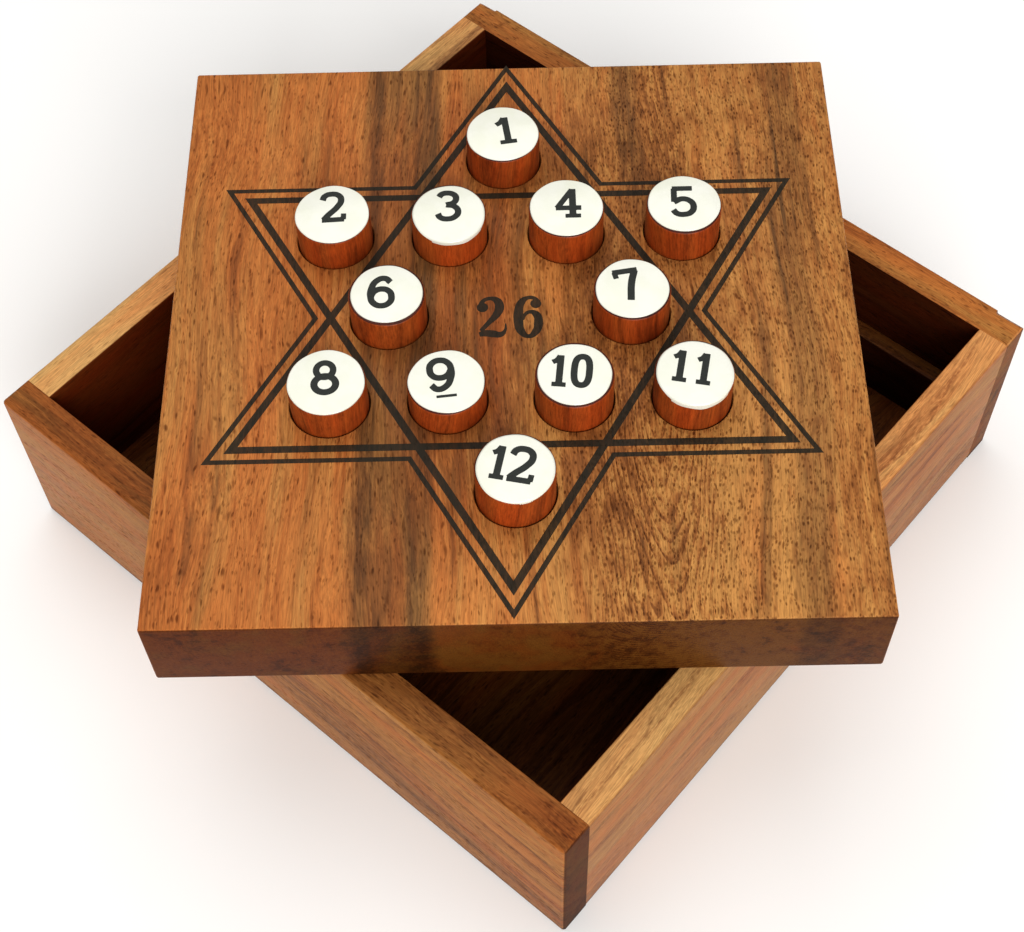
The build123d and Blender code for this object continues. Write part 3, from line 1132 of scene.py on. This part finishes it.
class PUZZLE_OT_numbers(bpy.types.Operator):
    """Print a number on each peg, and a line under the nine"""
    bl_idname = "puzzle.numbers"
    bl_label = "Peg numbers"

    def execute(self, context):
        finish = numeral_finish()
        film = settings("puzzle_print").film

        def on_peg(number, x, y, turn):
            """Where a print in mm lies on a peg, from the peg's middle and turned in degrees."""
            foot, top, radius = PEG_PLACES[number]
            place = print_place(top - film * PEG_PRINT_SUNK, foot, MM) @ Matrix.Translation((x, y, 0))
            return place @ Matrix.Rotation(math.radians(turn), 4, "Z")

        for number in PEGS:
            digits = PAIRS.get(number, ((str(number), 0.0),))
            figure = lettering([(kind, pen * PRESSURE, points, left)
                                for digit, left in digits for kind, pen, points in NUMERALS[digit]], film / MM)
            wide = [v.co.x for v in figure.data.vertices]
            centre = Matrix.Translation((-(min(wide) + max(wide)) / 2, -NUMERAL_MIDDLE, 0))
            figure.matrix_world = on_peg(number, *PRINTS[number]) @ centre
            settle(figure, f"peg_{number}_number", smooth=0)
            if number == UNDERLINED:
                line = lettering(UNDERLINE, film / MM)
                line.matrix_world = on_peg(number, *UNDERLINE_PLACE)
                settle(line, "underline", smooth=0)
                join([figure, line])
            finish_piece(figure, f"peg_{number}", "peg_wood", finish)
        return {"FINISHED"}


# ---------------------------------------------------------------- studio

FLOOR_SIZE = 6
AIMED_AT = Vector((0, 0, 0.02))
# Name, place, size, power and colour
LIGHTS = (
    ("overhead softbox", (-0.30, 0.20, 1.00), 0.9, 4.2, (1.0, 0.99, 0.97)),
    ("front softbox", (1.56, -1.10, 1.25), 1.4, 46.0, (1.0, 0.98, 0.95)),
)
AIR_COLOUR = (1.0, 0.99, 0.97, 1)


class PUZZLE_OT_studio(bpy.types.Operator):
    """Set the pale floor, the soft lights and the camera"""
    bl_idname = "puzzle.studio"
    bl_label = "Studio"

    def execute(self, context):
        studio = settings("puzzle_studio")
        scene = context.scene
        clear_bench()
        bpy.ops.mesh.primitive_plane_add(size=FLOOR_SIZE, location=(0, 0, 0))
        floor = context.active_object
        floor.name = "studio_floor"
        floor.data.materials.append(floor_finish())

        clear_bench()
        bpy.ops.object.camera_add(location=studio.place, rotation=studio.aim)
        camera = context.active_object
        camera.name = "studio_camera"
        camera.data.sensor_width = 36
        camera.data.lens = studio.lens
        camera.data.clip_start = 0.01
        scene.camera = camera

        for name, place, size, power, shade in LIGHTS:
            clear_bench()
            turn = (AIMED_AT - Vector(place)).to_track_quat("-Z", "Y").to_euler()
            bpy.ops.object.light_add(type="AREA", location=place, rotation=turn)
            lamp = context.active_object
            lamp.name = name
            lamp.data.size = size
            lamp.data.energy = power
            lamp.data.color = shade

        world = scene.world or bpy.data.worlds.new("studio air")
        scene.world = world
        world.use_nodes = True
        sky = world.node_tree.nodes["Background"]
        sky.inputs["Color"].default_value = AIR_COLOUR
        sky.inputs["Strength"].default_value = studio.air
        scene.view_settings.view_transform = "Standard"
        return {"FINISHED"}


STEPS = (
    PUZZLE_OT_studio, PUZZLE_OT_walls, PUZZLE_OT_tray, PUZZLE_OT_lid, PUZZLE_OT_star, PUZZLE_OT_total,
    PUZZLE_OT_pegs, PUZZLE_OT_enamel, PUZZLE_OT_numbers,
)


class PUZZLE_PT_bench(bpy.types.Panel):
    """Builds the puzzle box step by step"""
    bl_label = "Puzzle Box"
    bl_idname = "PUZZLE_PT_bench"
    bl_space_type = "VIEW_3D"
    bl_region_type = "UI"
    bl_category = "Puzzle Box"

    def draw(self, context):
        for name in GROUPS:
            box = self.layout.box()
            box.label(text=name.replace("_", " ").capitalize())
            group = getattr(context.scene, name)
            for key in group.__annotations__:
                box.prop(group, key)
        for step in STEPS:
            self.layout.operator(step.bl_idname)


def register():
    for cls in (*GROUPS.values(), *STEPS, PUZZLE_PT_bench):
        bpy.utils.register_class(cls)
    for name, cls in GROUPS.items():
        setattr(bpy.types.Scene, name, PointerProperty(type=cls))


def unregister():
    for name in GROUPS:
        delattr(bpy.types.Scene, name)
    for cls in reversed((*GROUPS.values(), *STEPS, PUZZLE_PT_bench)):
        bpy.utils.unregister_class(cls)


def main():
    register()
    for step in STEPS:
        area, name = step.bl_idname.split(".")
        result = getattr(getattr(bpy.ops, area), name)()
        if "FINISHED" not in result:
            raise RuntimeError(f"{step.bl_label} was not finished")
    clear_bench()


if __name__ == "__main__":
    main()
